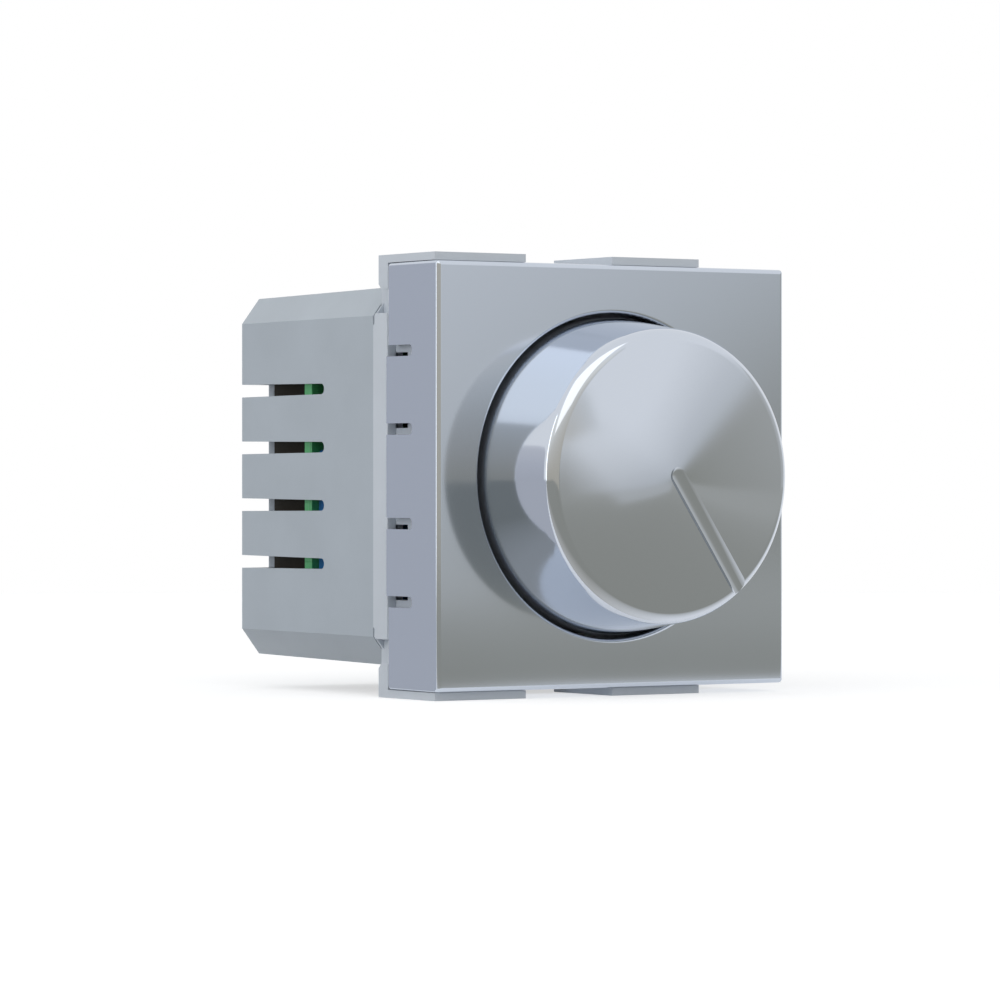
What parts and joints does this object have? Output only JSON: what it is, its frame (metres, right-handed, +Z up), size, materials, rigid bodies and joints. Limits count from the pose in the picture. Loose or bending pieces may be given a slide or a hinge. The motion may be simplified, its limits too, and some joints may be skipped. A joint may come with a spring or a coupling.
{
  "type": "rotary dimmer switch",
  "caption": "Snap-in rotary dimmer module with square front plate, round push-and-turn knob, side-vented rear housing and screw terminals.",
  "frame": {"origin": "centre of the square front face of the plate, on the knob's axis, in the plane of the cover", "axes": "+X right as the user sees it, +Y into the wall along the knob's axis, +Z up"},
  "size_m": [0.045, 0.0528, 0.0468],
  "materials": {
    "plate_silver": "silver lacquer, satin gloss",
    "knob_silver": "silver lacquer, high gloss",
    "carrier_grey": "fine moulded",
    "housing_grey": "fine moulded",
    "steel_plain": "zinc plated",
    "spring_steel": "bright wire",
    "brass_plain": "machined",
    "nickel_zinc": "nickel plated",
    "dial_black": "moulded",
    "dial_ivory": "moulded",
    "track_brown": "laminate",
    "board_green": "solder mask over laminate",
    "header_black": "moulded",
    "tinned": "tinned",
    "terminal_brown": "moulded",
    "capacitor_blue": "glossy box",
    "core_powder": "coated ring core",
    "copper_wire": "enamelled",
    "sink_aluminium": "rolled",
    "package_black": "moulded epoxy",
    "fuse_brown": "moulded",
    "disc_blue": "dipped epoxy",
    "film_red": "glossy box",
    "resistor_tan": "lacquered",
    "diode_glass": "glass envelope"
  },
  "bodies": {
    "base": {"front_plate": "plate_silver", "carrier_frame": "carrier_grey", "rear_housing": "housing_grey", "bushing_plate": "nickel_zinc", "bushing_washer": "steel_plain", "bushing_nut": "brass_plain", "dial_case": "dial_black", "track_board": "track_brown", "control_board": "board_green", "board_header": "header_black", "header_pins": "tinned", "main_board": "board_green", "switch_can": "header_black", "switch_spring": "spring_steel", "terminal_block": "terminal_brown", "contact_bars": "brass_plain", "suppression_capacitor": "capacitor_blue", "choke_core": "core_powder", "choke_winding": "copper_wire", "heat_sink": "sink_aluminium", "triac": "package_black", "triac_leads": "tinned", "triac_screw": "steel_plain", "radial_fuse": "fuse_brown", "varistor": "disc_blue", "timing_capacitor": "film_red", "resistors": "resistor_tan", "diac": "diode_glass"},
    "rotor": {"wiper_rotor": "dial_ivory", "wiper_contact": "brass_plain"},
    "knob": {"knob_cap": "knob_silver", "knob_clip": "spring_steel", "shaft": "nickel_zinc", "shaft_ring": "spring_steel"},
    "plunger": {"switch_plunger": "dial_ivory"},
    "screw_1": {"terminal_screw_1": "steel_plain"},
    "cage_1": {"terminal_cage_1": "steel_plain"},
    "screw_2": {"terminal_screw_2": "steel_plain"},
    "cage_2": {"terminal_cage_2": "steel_plain"},
    "screw_3": {"terminal_screw_3": "steel_plain"},
    "cage_3": {"terminal_cage_3": "steel_plain"}
  },
  "joints": [
    {"name": "dial_turn", "type": "hinge", "parent": "base", "child": "rotor", "pos_m": [0, 0, 0], "axis": [0, 1, 0], "range_deg": [-286, 0]},
    {"name": "knob_push", "type": "slide", "parent": "rotor", "child": "knob", "axis": [0, 1, 0], "range_m": [0, 0.0015], "stiffness_N_per_m": 600, "springref_m": -0.0015},
    {"name": "plunger_push", "type": "slide", "parent": "base", "child": "plunger", "axis": [0, 1, 0], "range_m": [0, 0.0015], "deforming": ["switch_spring"]},
    {"name": "screw_turn_1", "type": "hinge", "parent": "base", "child": "screw_1", "pos_m": [-0.011, 0.03545, -0.0163], "axis": [0, 0, 1], "range_deg": [0, 2160]},
    {"name": "cage_rise_1", "type": "slide", "parent": "base", "child": "cage_1", "axis": [0, 0, -1], "range_m": [0, 0.003]},
    {"name": "screw_turn_2", "type": "hinge", "parent": "base", "child": "screw_2", "pos_m": [0, 0.03545, -0.0163], "axis": [0, 0, 1], "range_deg": [0, 2160]},
    {"name": "cage_rise_2", "type": "slide", "parent": "base", "child": "cage_2", "axis": [0, 0, -1], "range_m": [0, 0.003]},
    {"name": "screw_turn_3", "type": "hinge", "parent": "base", "child": "screw_3", "pos_m": [0.011, 0.03545, -0.0163], "axis": [0, 0, 1], "range_deg": [0, 2160]},
    {"name": "cage_rise_3", "type": "slide", "parent": "base", "child": "cage_3", "axis": [0, 0, -1], "range_m": [0, 0.003]}
  ],
  "couplings": [
    {"joint": "plunger_push", "follows": "knob_push", "ratio": 1},
    {"joint": "screw_turn_1", "follows": "cage_rise_1", "rad_per_m": 12566},
    {"joint": "screw_turn_2", "follows": "cage_rise_2", "rad_per_m": 12566},
    {"joint": "screw_turn_3", "follows": "cage_rise_3", "rad_per_m": 12566}
  ]
}
